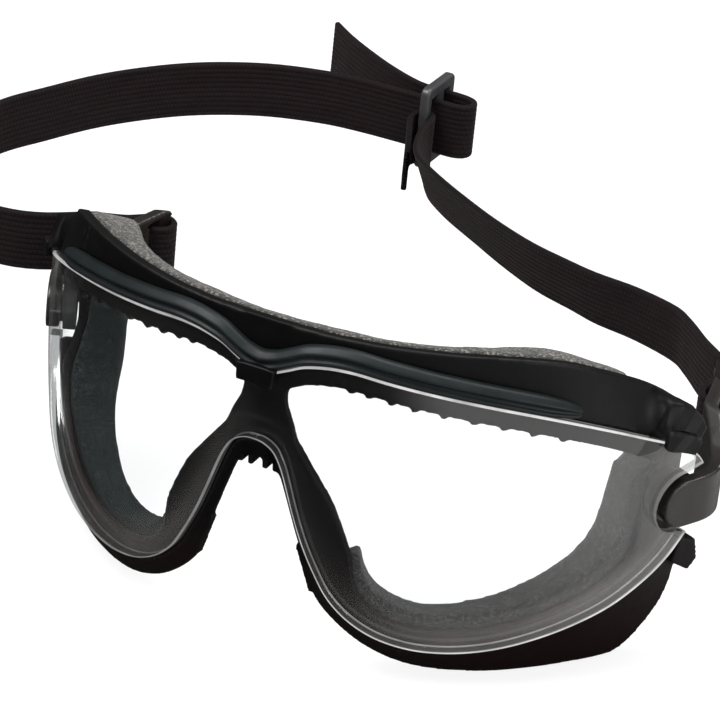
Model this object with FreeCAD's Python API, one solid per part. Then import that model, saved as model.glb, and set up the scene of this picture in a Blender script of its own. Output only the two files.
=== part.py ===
import FreeCAD, Part
import math, os
from bisect import bisect

# Wrap-around safety goggles: clear one-piece lens on a black moulded face frame
# with foam seals, two pivoting strap arms and an elastic head strap with a slider.
# Millimetres. Front faces -Y, wearer's left is +X, up is +Z.
# Origin: front of the lens on the centre line, in the middle of the nose arch.
#
# Parts on the lens are placed by arc length along its plan curve (positive to the
# wearer's left), height z, and depth behind its front face (negative is in front).

# ---------------------------------------------------------------- driving dimensions
LENS_HALF_W = 78.0      # half width of the lens plan curve
LENS_DEPTH = 90.1       # front-to-back depth of the lens plan curve
LENS_POWER = 2.153      # superellipse power of the plan curve
LENS_RV = 278.3         # radius of the lens in the vertical direction
LENS_T = 2.2            # lens thickness

SEAT_D = 2.45           # depth of the frame face behind the lens
BAND_T = 1.9            # thickness of the frame band
EDGE_GAP = 0.4          # gap round the lens edge
RIM_MIN = 0.45          # least width of the frame rim outside its step
RIM_SLANT = 0.15        # sideways lean of the step and of the rim's outer edge
FOAM_GAP = 0.2          # glue line between frame and foam
SKIRT_REST_Z = -41.9    # level of the flat lands under the two cheek skirts

ARM_ALONG = 84.0        # reference position of the arm along the lens
ARM_Z = -4.4            # reference height of the arm
PIVOT_BACK = 3.6        # pivot behind the reference position
PIVOT_Z = -7.2          # pivot height
NOTCH_R = 6.6           # open notch in the lens round the pivot
NOTCH_MOUTH = 9.6       # half height of the notch at its open end
NOTCH_LEN = 13.0        # notch length behind the pivot
PIN_R = 1.5             # pivot pin radius
PIN_RUN = 0.05          # radial running clearance of the pin in its housing
PIN_END = 5.15          # inner end of the pin, inward from the lens face
HOUSING_R = 5.2         # pivot housing disc radius
HOUSING_END = 5.3       # inner face of the housing
RETAINER_R = 3.7        # radius of the washer between arm and housing

ARM_IN = 0.65           # arm centre line inside the lens face at the pivot
ARM_R = 4.9             # half height of the arm bar
ARM_T = 2.7             # thickness of the arm bar
RING_TOP = ARM_Z + 6.1  # top of the opening in the strap ring
RING_BOTTOM = ARM_Z - 8.3
RING_FRONT = 24.2       # front of the opening, in arm coordinates
RING_REAR = 27.0
BAR_BACK = 28.55        # axis of the rounded rear bar of the ring, arm coordinates
BAR_IN = 20.0
BAR_R = 2.38

STRAP_W = 13.0          # webbing width
STRAP_T = 1.3           # webbing thickness
STRAP_Z = -5.6          # height of the strap centre line at the arms
EYE_R = 2.55            # inner radius of the webbing eye round the ring bar
TONGUE_START = 1.5      # doubled webbing behind the eye, from the bar axis
TONGUE_END = 14.0
STRAP_START_GAP = 1.2   # from the doubled tongue to the start of the strap
LEFT_LEAD = (-.30, .95)     # x, y direction in which the webbing leaves the left ring
RIGHT_LEAD = (.72, -.30)    # the same on the right, before mirroring

SLIDER_X = -45.5        # slider centre
SLIDER_Y = 173.6
SLIDER_Z = -6.5
SLIDER_LEN = 13.8       # slider length across its bars
SLIDER_H = 19.5         # slider height
SLIDER_T = 2.2          # slider thickness
SLOT_W = 3.2            # slot width
SLOT_H = 14.2           # slot height

os.makedirs("parts", exist_ok=True)
Vec = FreeCAD.Vector


# ---------------------------------------------------------------- lens surface
def plan_table():
    """x, y and arc length at close steps along one half of the plan curve."""
    count = 4000
    xs, ys, lengths = [], [], []
    length = 0.0
    for i in range(count):
        angle = 0.5 * math.pi * i / count
        x = LENS_HALF_W * math.sin(angle) ** (2 / LENS_POWER)
        y = LENS_DEPTH - LENS_DEPTH * math.cos(angle) ** (2 / LENS_POWER)
        if xs:
            length += math.hypot(x - xs[-1], y - ys[-1])
        xs.append(x)
        ys.append(y)
        lengths.append(length)
    return xs, ys, lengths


PLAN_X, PLAN_Y, PLAN_LENGTH = plan_table()


def plan_xy(along):
    """Plan point at a signed arc length from the centre."""
    i = bisect(PLAN_LENGTH, abs(along)) - 1
    part = (abs(along) - PLAN_LENGTH[i]) / (PLAN_LENGTH[i + 1] - PLAN_LENGTH[i])
    x = PLAN_X[i] * (1 - part) + PLAN_X[i + 1] * part
    y = PLAN_Y[i] * (1 - part) + PLAN_Y[i + 1] * part
    return math.copysign(x, along), y


def plan_normal(along):
    """Unit normal of the plan curve, pointing inward."""
    reach = 0.5
    ahead, behind = plan_xy(along + reach), plan_xy(along - reach)
    x, y = ahead[0] - behind[0], ahead[1] - behind[1]
    length = math.hypot(x, y)
    return -y / length, x / length


def lens_point(along, z, depth=0.0):
    x, y = plan_xy(along)
    normal_x, normal_y = plan_normal(along)
    tilt = math.atan2(z, LENS_RV)
    inward = z * z / (2 * LENS_RV) + depth * math.cos(tilt)
    return Vec(x + normal_x * inward, y + normal_y * inward, z - depth * math.sin(tilt))


# ---------------------------------------------------------------- interpolation
def monotone(table, where):
    """Monotone cubic through sparse (position, value) pairs."""
    xs, ys = zip(*table)
    if where <= xs[0]:
        return ys[0]
    if where >= xs[-1]:
        return ys[-1]
    i = bisect(xs, where) - 1
    steps = [xs[k + 1] - xs[k] for k in range(len(xs) - 1)]
    rises = [(ys[k + 1] - ys[k]) / steps[k] for k in range(len(xs) - 1)]

    def slope(k):
        if k == 0:
            return rises[0]
        if k == len(xs) - 1:
            return rises[-1]
        if rises[k - 1] * rises[k] <= 0:
            return 0.0
        before = 2 * steps[k] + steps[k - 1]
        after = steps[k] + 2 * steps[k - 1]
        return (before + after) / (before / rises[k - 1] + after / rises[k])

    u = (where - xs[i]) / steps[i]
    return ((2 * u ** 3 - 3 * u ** 2 + 1) * ys[i]
            + (u ** 3 - 2 * u ** 2 + u) * steps[i] * slope(i)
            + (-2 * u ** 3 + 3 * u ** 2) * ys[i + 1]
            + (u ** 3 - u ** 2) * steps[i] * slope(i + 1))


def catmull_rom(rows, where):
    """Row of values at a fractional row number."""
    last = len(rows) - 1
    i = min(max(int(math.floor(where)), 0), last - 1)
    u = where - i
    four = rows[max(i - 1, 0)], rows[i], rows[i + 1], rows[min(i + 2, last)]
    return [0.5 * (2 * b + (c - a) * u + (2 * a - 5 * b + 4 * c - d) * u * u
                   + (3 * b - a - 3 * c + d) * u ** 3)
            for a, b, c, d in zip(*four)]


def smooth_path(rows, count):
    """Points of a smooth path through the rows, each with its unit normal in plan."""
    points = [catmull_rom(rows, (len(rows) - 1) * i / count) for i in range(count + 1)]
    path = []
    for i, point in enumerate(points):
        before, after = points[max(i - 1, 0)], points[min(i + 1, count)]
        x, y = after[0] - before[0], after[1] - before[1]
        length = math.hypot(x, y)
        path.append((point, -y / length, x / length))
    return path


# ---------------------------------------------------------------- lens outline
# Wearer's left half: arc length, height, outward direction (along, up).
# It runs from the centre of the brow round the temple and back up to the nose arch.
# A station is a row number, whole or fractional.
OUTLINE = [
    (-2.5, 18.3, 0, 1), (0, 18.0, 0, 1), (2.8, 18.6, 0, 1), (5.5, 19.8, 0, 1),
    (8.5, 21.2, 0, 1), (12.1, 22.0, 0, 1), (15.3, 22.3, 0, 1), (19.1, 22.2, 0, 1),
    (24.4, 21.5, 0, 1), (30.3, 20.7, 0, 1), (37.7, 19.6, 0, 1), (45.3, 18.3, 0, 1),
    (53, 16.7, 0, 1), (61, 14.6, 0, 1), (69.7, 11.8, 0, 1), (77.9, 8.7, .15, .99),
    (83.5, 6.4, .3, .95), (88.0, 4.1, .55, .84), (91.5, .8, .85, .53), (92.9, -3.5, 1, .05),
    (93.0, -8, 1, -.1), (91.8, -12, .9, -.43), (89.3, -15.3, .85, -.53), (86.2, -19, .8, -.6),
    (81.6, -22.8, .65, -.76), (74.4, -27.1, .45, -.89), (66.8, -30.0, .3, -.95),
    (59.5, -32.2, .2, -.98), (52.4, -33.9, .1, -.99), (45.6, -34.9, 0, -1),
    (39.4, -35.2, -.05, -1), (33.4, -34.8, -.15, -.99), (27, -33.2, -.35, -.94),
    (21.4, -30.2, -.6, -.8), (17, -26, -.8, -.6), (13.9, -20.8, -.88, -.47),
    (11.3, -15.4, -.93, -.37), (9.1, -9.6, -.95, -.3), (7.1, -3.6, -.93, -.37),
    (5.8, -.2, -.8, -.6), (4.2, 2.4, -.55, -.84), (2.1, 3.7, -.2, -.98), (0, 4.0, 0, -1),
    (-2.5, 3.6, 0, -1)]
# Stations of the lens corners; the first and last lie on the centre line.
BROW_CENTRE, TEMPLE_TOP, TEMPLE_BOTTOM, NOSE_CENTRE = 1, 18, 21, 42
OUTLINE_END = len(OUTLINE) - 1


def outline_row(station):
    along, z, out_along, out_z = catmull_rom(OUTLINE, station)
    length = math.hypot(out_along, out_z)
    return along, z, out_along / length, out_z / length


def edge_point(station, out, depth, side=1):
    """Point the given distance outside the lens edge; side -1 is the wearer's right."""
    along, z, out_along, out_z = outline_row(station)
    return lens_point(side * (along + out * out_along), z + out * out_z, depth)


def edge_section(station, corners, side=1):
    """Section from (distance outside the lens edge, depth) corners."""
    return [edge_point(station, out, depth, side) for out, depth in corners]


def stations(start, end, step=0.5):
    count = max(2, int(round(abs(end - start) / step)))
    return [start + (end - start) * i / count for i in range(count + 1)]


# ---------------------------------------------------------------- solid builders
def solidify(faces):
    shell = Part.makeShell(faces)
    shell.sewShape()
    # sewing may wrap the shell in another shape
    if shell.ShapeType != "Shell":
        shell = shell.Shells[0]
    solid = Part.makeSolid(shell)
    if solid.Volume < 0:
        solid.reverse()
    return solid


def polygon_face(points):
    return Part.Face(Part.makePolygon(points + points[:1]))


def fan_cap(points):
    """Triangles from the mean point, closing an outline that need not be flat."""
    centre = Vec(0, 0, 0)
    for point in points:
        centre = centre + point
    centre = centre * (1.0 / len(points))
    return [polygon_face([centre, points[i], points[(i + 1) % len(points)]])
            for i in range(len(points))]


def sweep(sections):
    """Solid through sections with matching corners, splined corner by corner."""
    rails = [list(rail) for rail in zip(*sections)]
    parameters = [0.0]
    for i in range(1, len(sections)):
        mean_step = sum((rail[i] - rail[i - 1]).Length for rail in rails) / len(rails)
        parameters.append(parameters[-1] + max(0.05, mean_step))
    edges = []
    for rail in rails:
        curve = Part.BSplineCurve()
        curve.interpolate(Points=rail, Parameters=parameters)
        edges.append(curve.toShape())
    faces = [Part.makeRuledSurface(edges[j], edges[(j + 1) % len(edges)], 1)
             for j in range(len(edges))]
    return solidify(faces + fan_cap(sections[0]) + fan_cap(sections[-1]))


def lens_block(corners):
    """Block that follows the lens: (arc length, z, front depth, rear depth) corners."""
    front = [lens_point(along, z, depth) for along, z, depth, _ in corners]
    rear = [lens_point(along, z, depth) for along, z, _, depth in corners]
    faces = fan_cap(front) + fan_cap(rear)
    for i in range(len(corners)):
        k = (i + 1) % len(corners)
        front_edge = Part.LineSegment(front[i], front[k]).toShape()
        rear_edge = Part.LineSegment(rear[i], rear[k]).toShape()
        faces.append(Part.makeRuledSurface(front_edge, rear_edge, 1))
    return solidify(faces)


def lens_slab(outline, front, rear):
    """Lens block with (arc length, z) corners between two constant depths."""
    return lens_block([(along, z, front, rear) for along, z in outline])


def ribbon(path):
    """Upright length of webbing through (x, y, z) centre points."""
    sections = []
    for (x, y, z), normal_x, normal_y in smooth_path(path, (len(path) - 1) * 6):
        sections.append([Vec(x + across * normal_x * STRAP_T / 2,
                             y + across * normal_y * STRAP_T / 2,
                             z + up * STRAP_W / 2)
                         for across, up in ((1, 1), (-1, 1), (-1, -1), (1, -1))])
    return sweep(sections)


def mirror(shape):
    return shape.mirror(Vec(0, 0, 0), Vec(1, 0, 0))


def save(shape, name):
    if shape.ShapeType == "Compound" and len(shape.Solids) == 1:
        shape = shape.Solids[0]
    shape.exportStep("parts/%s.step" % name)


def save_pair(shape, name):
    """Save a wearer's left part and its mirror image."""
    save(shape, name + "_left")
    save(mirror(shape), name + "_right")


# ---------------------------------------------------------------- arm coordinates
ARM_ORIGIN = lens_point(ARM_ALONG, ARM_Z)
INWARD_X, INWARD_Y = plan_normal(ARM_ALONG)
INWARD = Vec(INWARD_X, INWARD_Y, 0)         # along the pivot axis
BACKWARD = Vec(INWARD_Y, -INWARD_X, 0)      # along the lens, away from its centre


def arm_point(back, inward, z):
    """Point behind and inside the arm reference, at absolute height z."""
    return Vec(ARM_ORIGIN.x + BACKWARD.x * back + INWARD.x * inward,
               ARM_ORIGIN.y + BACKWARD.y * back + INWARD.y * inward, z)


def arm_block(outline, start, length):
    """(back, z) side outline extruded inward from start."""
    return polygon_face([arm_point(back, start, z) for back, z in outline]).extrude(
        INWARD * length)


def ring_block(front, rear, length):
    """Block as high as the opening in the strap ring."""
    return arm_block([(front, RING_TOP), (rear, RING_TOP),
                      (rear, RING_BOTTOM), (front, RING_BOTTOM)], -14, length)


def pivot_cylinder(radius, start, end):
    return Part.makeCylinder(radius, end - start, arm_point(PIVOT_BACK, start, PIVOT_Z), INWARD)


# ---------------------------------------------------------------- lens
LENS_COLUMNS = 40       # grid steps from the centre line to the temple
LENS_ROWS = 12          # grid steps from bottom to top


def lens_patch(u, v):
    """Coons patch over the left half: u from centre to temple, v from bottom to top."""
    top = outline_row(BROW_CENTRE + (TEMPLE_TOP - BROW_CENTRE) * u)
    bottom = outline_row(NOSE_CENTRE - (NOSE_CENTRE - TEMPLE_BOTTOM) * u)
    temple = outline_row(TEMPLE_BOTTOM - (TEMPLE_BOTTOM - TEMPLE_TOP) * v)
    nose_corner, brow_corner = outline_row(NOSE_CENTRE), outline_row(BROW_CENTRE)
    low_corner, high_corner = outline_row(TEMPLE_BOTTOM), outline_row(TEMPLE_TOP)
    place = []
    for k in (0, 1):
        centre = nose_corner[k] + (brow_corner[k] - nose_corner[k]) * v
        edges = (1 - v) * bottom[k] + v * top[k] + (1 - u) * centre + u * temple[k]
        corners = ((1 - u) * (1 - v) * nose_corner[k] + (1 - u) * v * brow_corner[k]
                   + u * (1 - v) * low_corner[k] + u * v * high_corner[k])
        place.append(edges - corners)
    return place


def lens_face(depth):
    grid = []
    for i in range(-LENS_COLUMNS, LENS_COLUMNS + 1):
        row = []
        for j in range(LENS_ROWS + 1):
            along, z = lens_patch(abs(i) / LENS_COLUMNS, j / LENS_ROWS)
            row.append(lens_point(along if i >= 0 else -along, z, depth))
        grid.append(row)
    surface = Part.BSplineSurface()
    surface.interpolate(grid)
    return surface


def border_edges(surface):
    u_start, u_end, v_start, v_end = surface.bounds()
    curves = (surface.uIso(u_start), surface.uIso(u_end),
              surface.vIso(v_start), surface.vIso(v_end))
    return [curve.toShape() for curve in curves]


def make_lens():
    front, rear = lens_face(0.0), lens_face(LENS_T)
    faces = [front.toShape(), rear.toShape()]
    for front_edge, rear_edge in zip(border_edges(front), border_edges(rear)):
        faces.append(Part.makeRuledSurface(front_edge, rear_edge, 1))
    lens = solidify(faces)
    # open notch at the temple edge that clears the pivot and the swinging arm
    mouth = PIVOT_BACK + NOTCH_LEN
    notch = arm_block([(PIVOT_BACK, PIVOT_Z + NOTCH_R), (mouth, PIVOT_Z + NOTCH_MOUTH),
                       (mouth, PIVOT_Z - NOTCH_MOUTH), (PIVOT_BACK, PIVOT_Z - NOTCH_R)], -6, 16.0)
    notch = notch.fuse(pivot_cylinder(NOTCH_R, -6, 10))
    lens = lens.cut(notch).cut(mirror(notch))
    # keep the lens itself if the notches leave slivers
    if lens.ShapeType == "Compound":
        lens = max(lens.Solids, key=lambda solid: solid.Volume)
    return lens


# ---------------------------------------------------------------- face frame
# Section sizes round the outline, as (station, value).
# Inner edge of the band, inside the lens edge
BAND_INSET = [
    (0, 4.6), (9, 4.8), (14, 4.6), (15, 4.8), (16, 5.2), (17, 6.5), (18, 8), (19, 9), (20, 9.3),
    (21, 9), (22, 8), (23, 6.6), (24, 4.6), (25, 3.2), (27, 2.7), (31, 2.7), (32, 2.9), (33, 3.6),
    (34, 5.4), (35, 7.4), (36, 7.8), (37, 7.4), (38, 5.4), (39, 4.2), (40, 3.8), (41, 3.4),
    (43, 3.2)]
# Depth of the band's front face
BAND_DEPTH = [
    (0, SEAT_D), (15, SEAT_D), (16, 3.4), (17, 5.0), (18, 5.7), (21, 5.7), (22, 5.0), (23, 3.6),
    (24, SEAT_D), (43, SEAT_D)]
# Step round the lens edge: distance outside the edge
STEP_OUT = [
    (0, EDGE_GAP), (16, EDGE_GAP), (17, 0.1), (18, -1.2), (21, -1.2), (22, 0.1), (23, EDGE_GAP),
    (43, EDGE_GAP)]
# Depth of the front of that step
STEP_DEPTH = [
    (0, 0.9), (14, 0.9), (16, 2.2), (17, 4.6), (18, 5.8), (21, 5.8), (22, 4.4), (23, 2.4),
    (24, 1.3), (27, 0.9), (43, 0.9)]
# Outer edge of the rim: distance outside the lens edge
RIM_OUT = [
    (0, 9.8), (1, 10.2), (2, 9.6), (3, 8.4), (4, 7.0), (5, 6.1), (6, 5.8), (7, 5.9), (8, 6.6),
    (9, 7.4), (10, 8.4), (11, 9.5), (12, 10.4), (13, 10.9), (14, 10.5), (15, 9.6), (16, 8.2),
    (17, 6.4), (18, 1.5), (19, -.6), (20, -.7), (21, .5), (22, 5.0), (23, 9.4), (24, 14.3),
    (25, 16.6), (26, 13.0), (27, 10.5), (28, 8.8), (29, 7.4), (30, 6.7), (31, 6.1), (32, 5.3),
    (33, 4.6), (34, 4.2), (35, 2.8), (36, 2.2), (37, 2.0), (38, 2.2), (39, 2.8), (40, 3.6),
    (41, 4.6), (42, 5.2), (43, 5.2)]
# Depth of the front of the rim's outer edge
RIM_DEPTH = [
    (0, 1.0), (9, 0.95), (11, 1.0), (12, 1.3), (13, 2.0), (14, 3.2), (15, 4.2), (16, 4.8),
    (17, 5.2), (18, 6.0), (19, 6.3), (20, 6.3), (21, 6.0), (22, 5.0), (23, 4.2), (24, 3.6),
    (25, 3.4), (26, 3.6), (28, 3.8), (32, 3.7), (34, 3.4), (38, 3.1), (43, 3.1)]
# Thickness of the rim at its outer edge
RIM_T = [(0, 2.4), (14, 2.4), (17, 1.9), (18, 1.5), (21, 1.5), (23, 1.9), (25, 2.0), (43, 2.0)]


def frame_section(station):
    inset, depth, step_out, step_depth, rim_out, rim_depth, rim_t = (
        monotone(table, station) for table in
        (BAND_INSET, BAND_DEPTH, STEP_OUT, STEP_DEPTH, RIM_OUT, RIM_DEPTH, RIM_T))
    rim_out = max(rim_out, step_out + RIM_MIN)
    return edge_section(station, [
        (-inset, depth), (step_out, depth),
        (step_out + RIM_SLANT, min(step_depth, depth + .1)),
        (rim_out, rim_depth), (rim_out - RIM_SLANT, rim_depth + rim_t),
        (-inset, depth + BAND_T)])


def make_nose_plate():
    """Plate on the centre line between the two eye openings."""
    left = [(6.0, 17.4), (4.6, 13.6), (4.9, 11.1), (6.6, 7.4), (7.6, 4.5), (8.2, 2.0)]
    right = [(-along, z) for along, z in reversed(left)]
    return lens_slab(left + right, SEAT_D + .3, SEAT_D + BAND_T - .3)


def frame_details():
    """Small blocks added to the left half of the frame."""
    # hook over the upper corner of the lens: arc length, z, front depth
    hook = [(79.9, 16.4, 1.5), (84.0, 14.9, 1.3), (88.0, 13.0, 1.0), (90.6, 10.2, .5),
            (91.7, 7.6, .1), (88.6, 4.6, -.5), (83.7, 7.0, -.5), (79.2, 9.0, -.5)]
    hook_lip = [(80.5, 10.5), (84.0, 9.5), (88.0, 7.5), (89.9, 5.6), (88.2, 3.2), (83.2, 5.3),
                (80.0, 6.7)]
    # grip tab at the lower temple corner
    grip_tab = [(90.4, -16.6), (95.4, -18.6), (96.9, -23.6), (94.8, -25.6), (89.4, -22.2)]
    # small tab on the nose side of the cheek skirt
    skirt_tab = [(12.6, -17.4), (9.0, -17.6), (12.4, -27.4), (15.0, -26.4), (15.8, -24)]
    details = [lens_block([corner + (5.4,) for corner in hook]),
               lens_slab(hook_lip, -.95, -.2),
               lens_slab(grip_tab, 1.4, 6.6),
               lens_slab(skirt_tab, 2.9, 4.5)]
    # ribs under the nose arch
    for start in (0.9, 3.1):
        end = start + 1.3
        details.append(lens_slab([(start, -.4), (end, -.7), (end, -3.2), (start, -2.9)], 2.7, 6.2))
    # vent ribs under the brow band
    for k in range(9):
        station = 6.6 + k * 0.78
        along, z = outline_row(station)[:2]
        z -= monotone(BAND_INSET, station)
        details.append(lens_slab([(along - .8, z + 1.2), (along + .8, z + 1.2),
                                  (along + .6, z - .7), (along - .6, z - .7)], 2.6, 4.45))
    return details


def make_frame():
    half = sweep([frame_section(station) for station in stations(0, OUTLINE_END)])
    for detail in frame_details():
        half = half.fuse(detail)
    # room for the lens edge under the hook
    lens_room = [(-6.0, -.18), (.3, -.18), (.3, 2.42), (-6.0, 2.42)]
    half = half.cut(sweep([edge_section(station, lens_room) for station in stations(13.5, 19.5)]))
    # trim at the centre line, then join both halves
    half = half.cut(Part.makeBox(60, 120, 120, Vec(-60, -20, -60)))
    frame = half.fuse(mirror(half)).fuse(make_nose_plate())
    return frame.cut(Part.makeBox(240, 120, 20, Vec(-120, -20, SKIRT_REST_Z - 20)))


# ---------------------------------------------------------------- brow trim and clip
TRIM_END = 13.1         # last station of the trim
TRIM_TAPER = 1.3        # stations over which each end tapers
TRIM_MID = 2.5          # distance outside the lens edge about which the ends shrink
TRIM_REAR = .72         # depth of the rear face
# Section corners: distance outside the lens edge, depth
TRIM_PROFILE = [(.62, TRIM_REAR), (.62, -.75), (1.15, -1.5), (2.0, -1.0), (2.95, -1.5),
                (4.2, -.55), (4.4, TRIM_REAR)]


def make_trim():
    sections = []
    for place in stations(-TRIM_END, TRIM_END, 0.45):
        side = -1 if place < 0 else 1
        station = BROW_CENTRE + abs(place) * (TRIM_END - BROW_CENTRE) / TRIM_END
        taper = min(1.0, (TRIM_END - abs(place)) / TRIM_TAPER)
        size = math.sqrt(max(0.0, 1 - (1 - taper) ** 2))
        corners = [(TRIM_MID + (out - TRIM_MID) * (.25 + .75 * size),
                    TRIM_REAR + (depth - TRIM_REAR) * (.2 + .8 * size))
                   for out, depth in TRIM_PROFILE]
        sections.append(edge_section(station, corners, side))
    return sweep(sections)


def make_clip():
    """Clip that hooks over the middle of the lens brow."""
    front = lens_slab([(-3.9, 18.5), (3.9, 18.5), (3.6, 14.6), (-3.6, 14.6)], -1.9, -.2)
    top = lens_block([(-2.6, 18.62, -1.7, .78), (2.6, 18.62, -1.7, .78),
                      (2.6, 18.4, -1.7, -.25), (-2.6, 18.4, -1.7, -.25)])
    return front.fuse(top)


# ---------------------------------------------------------------- foam seals
# As (station, value): depth of the rear faces, then the cheek foam's edges
# inside and outside the lens edge.
BROW_FOAM_REAR = [(0, 8.6), (9, 8.6), (11, 10.2), (12, 12), (13, 13.3), (14, 13.8), (15, 13.6)]
CHEEK_FOAM_REAR = [(17, 14.5), (19, 15.5), (22, 15), (25, 13), (29, 10.5), (34, 9), (35, 8.8)]
CHEEK_FOAM_INSET = [
    (17, 8.4), (18, 10), (19, 11.2), (20, 12), (21, 12), (22, 10.8), (23, 9), (24, 7.2), (25, 6),
    (27, 5.2), (31, 5.2), (33, 6), (34, 7.2), (35, 8.6)]
CHEEK_FOAM_OUT = [(17, -2.2), (21, -2.0), (22, 0), (23, 2.4), (24, 3.2), (29, 3.0), (32, 2.2),
                  (35, 1.0)]


def make_brow_foam():
    sections = []
    for place in stations(-13.6, 13.6):
        side = -1 if place < 0 else 1
        station = BROW_CENTRE + abs(place)
        inset, depth, rim_out, rim_depth, rim_t, rear = (
            monotone(table, station) for table in
            (BAND_INSET, BAND_DEPTH, RIM_OUT, RIM_DEPTH, RIM_T, BROW_FOAM_REAR))
        outer_front = rim_depth + rim_t + FOAM_GAP
        inner_front = depth + BAND_T + FOAM_GAP + .1
        sections.append(edge_section(station, [
            (-inset + 1.0, inner_front), (rim_out - .4, outer_front),
            (rim_out - .2, outer_front + .7), (rim_out - 1.2, rear - .7),
            (rim_out - 2.2, rear), (-inset + 1.6, rear)], side))
    return sweep(sections)


def make_cheek_foam():
    sections = []
    for station in stations(17.4, 34.8, 0.4):
        inset, depth, step_out, rim_out, rim_depth, rim_t, foam_inset, foam_out, rear = (
            monotone(table, station) for table in
            (BAND_INSET, BAND_DEPTH, STEP_OUT, RIM_OUT, RIM_DEPTH, RIM_T,
             CHEEK_FOAM_INSET, CHEEK_FOAM_OUT, CHEEK_FOAM_REAR))
        rim_out = max(rim_out, step_out + RIM_MIN) - RIM_SLANT
        # rear face of the frame at its inner and outer edge
        inner_rear, outer_rear = depth + BAND_T, rim_depth + rim_t
        foam_out = min(foam_out, rim_out - .2)
        across = (foam_out + inset) / (rim_out + inset)
        front = inner_rear + (outer_rear - inner_rear) * across + FOAM_GAP + .15
        sections.append(edge_section(station, [
            (-foam_inset, inner_rear + FOAM_GAP + .1),
            (foam_out, max(front, inner_rear + FOAM_GAP)),
            (foam_out + .1, rear - 1.2), (foam_out - 1.0, rear), (-foam_inset + .6, rear)]))
    return sweep(sections)


# ---------------------------------------------------------------- arms and pivots
# Arm centre line in plan: back, inward
ARM_LINE = [
    (-2.0, ARM_IN), (1.1, ARM_IN), (PIVOT_BACK, ARM_IN), (6.6, ARM_IN), (9.6, .9), (12.6, 2.1),
    (15.3, 4.7), (17.5, 7.9), (19.4, 11.1), (21.2, 14.2), (23.6, 16.1), (26, 18.0), (30.2, 21.3),
    (31.5, 22.3)]
# Side outline of the arm and its strap ring: back, z
ARM_SIDE = [
    (PIVOT_BACK, PIVOT_Z + ARM_R), (12.6, PIVOT_Z + ARM_R), (15.8, PIVOT_Z + 6.2),
    (18.2, ARM_Z + 5.4), (20.2, ARM_Z + 7.6), (29.0, ARM_Z + 7.7), (30.1, ARM_Z + 6.7),
    (30.1, ARM_Z - 8.9), (29.0, ARM_Z - 9.9), (20.2, ARM_Z - 9.8), (18.2, ARM_Z - 9.0),
    (15, PIVOT_Z - ARM_R - .2), (PIVOT_BACK, PIVOT_Z - ARM_R)]


def arm_strip():
    """Curved strip along the arm centre line, higher than the arm."""
    bottom, top = -20.0, 12.0
    sides = []
    for half in (ARM_T / 2, -ARM_T / 2):
        sides.append([arm_point(back + normal_back * half, inward + normal_in * half, bottom)
                      for (back, inward), normal_back, normal_in in smooth_path(ARM_LINE, 60)])
    curves = []
    for side in sides:
        curve = Part.BSplineCurve()
        curve.interpolate(Points=side)
        curves.append(curve.toShape())
    first, second = sides
    edges = [curves[0], Part.LineSegment(first[-1], second[-1]).toShape(),
             curves[1], Part.LineSegment(second[0], first[0]).toShape()]
    face = Part.Face(Part.Wire(Part.__sortEdges__(edges)))
    return face.extrude(Vec(0, 0, top - bottom))


def make_arm():
    side_body = arm_block(ARM_SIDE, -14, 45.0).fuse(pivot_cylinder(ARM_R, -14, 30))
    arm = arm_strip().common(side_body)
    arm = arm.cut(ring_block(RING_FRONT, RING_REAR, 45.0))
    # the rear bar of the ring is rounded so the webbing can run round it
    bar = Part.makeCylinder(BAR_R, 40, arm_point(BAR_BACK, BAR_IN, -25))
    arm = arm.cut(ring_block(RING_REAR, 36.0, 60.0).cut(bar))
    arm = arm.cut(pivot_cylinder(PIN_R, ARM_IN - 1.0, 4))
    if arm.ShapeType == "Compound":
        arm = arm.Solids[0]
    return arm


ARM_INNER = ARM_IN + ARM_T / 2      # inner face of the arm at the pivot


def make_housing():
    bore = pivot_cylinder(PIN_R + PIN_RUN, -5, 6)
    return pivot_cylinder(HOUSING_R, ARM_INNER + .75, HOUSING_END).cut(bore)


def make_pin():
    return pivot_cylinder(PIN_R, ARM_IN - 1.0, PIN_END)


def make_retainer():
    bore = pivot_cylinder(PIN_R + .06, 0, 6)
    return pivot_cylinder(RETAINER_R, ARM_INNER + .1, ARM_INNER + .65).cut(bore)


# ---------------------------------------------------------------- webbing
# Strap centre lines after their start at the arm: x, y, z
LEFT_PATH = [
    (55.6, 94.6, -5.6), (51.5, 99.2, -5.8), (46, 104, -6), (41, 107.6, -6.2), (31, 111.3, -6.4),
    (21, 113.3, -6.6), (14, 115.5, -6.8), (4, 119, -7.2), (-7, 125, -7.8), (-18, 132.5, -8.6),
    (-27, 140.0, -9.4)]
RIGHT_PATH = [
    (-84, 65.0, -5.8), (-92, 62.6, -6), (-103, 63, -6.2), (-113, 69, -6.3), (-119.5, 80, -6.4),
    (-122.0, 94, -6.5), (-121, 109.5, -6.5), (-116.5, 122, -6.5), (-111.5, 134, -6.5),
    (-105.8, 143.7, -6.5), (-98.8, 152.7, -6.5), (-91, 159.7, -6.5), (-82, 165.3, -6.5),
    (-71, 169.2, -6.5), (-62, 170.3, -6.5), (-52, 170.4, -6.5), (-44, 170.4, -6.5),
    (-39.4, 170.4, -6.5)]
# Fold beside the slider and the loose tail
FOLD_PATH = [
    (-42.6, 168.2, -6.5), (-38, 168.0, -6.5), (-34, 168.3, -6.5), (-30.8, 170.4, -6.5),
    (-30.6, 173.6, -6.5), (-33.4, 176.2, -6.5), (-38, 176.7, -6.5), (-42, 176.8, -6.5),
    (-46, 176.8, -6.5), (-52, 177.4, -6.5), (-60, 180.6, -6.3), (-68, 185.2, -6.2),
    (-75.5, 190.2, -6.1), (-82, 195.4, -6)]


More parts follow.
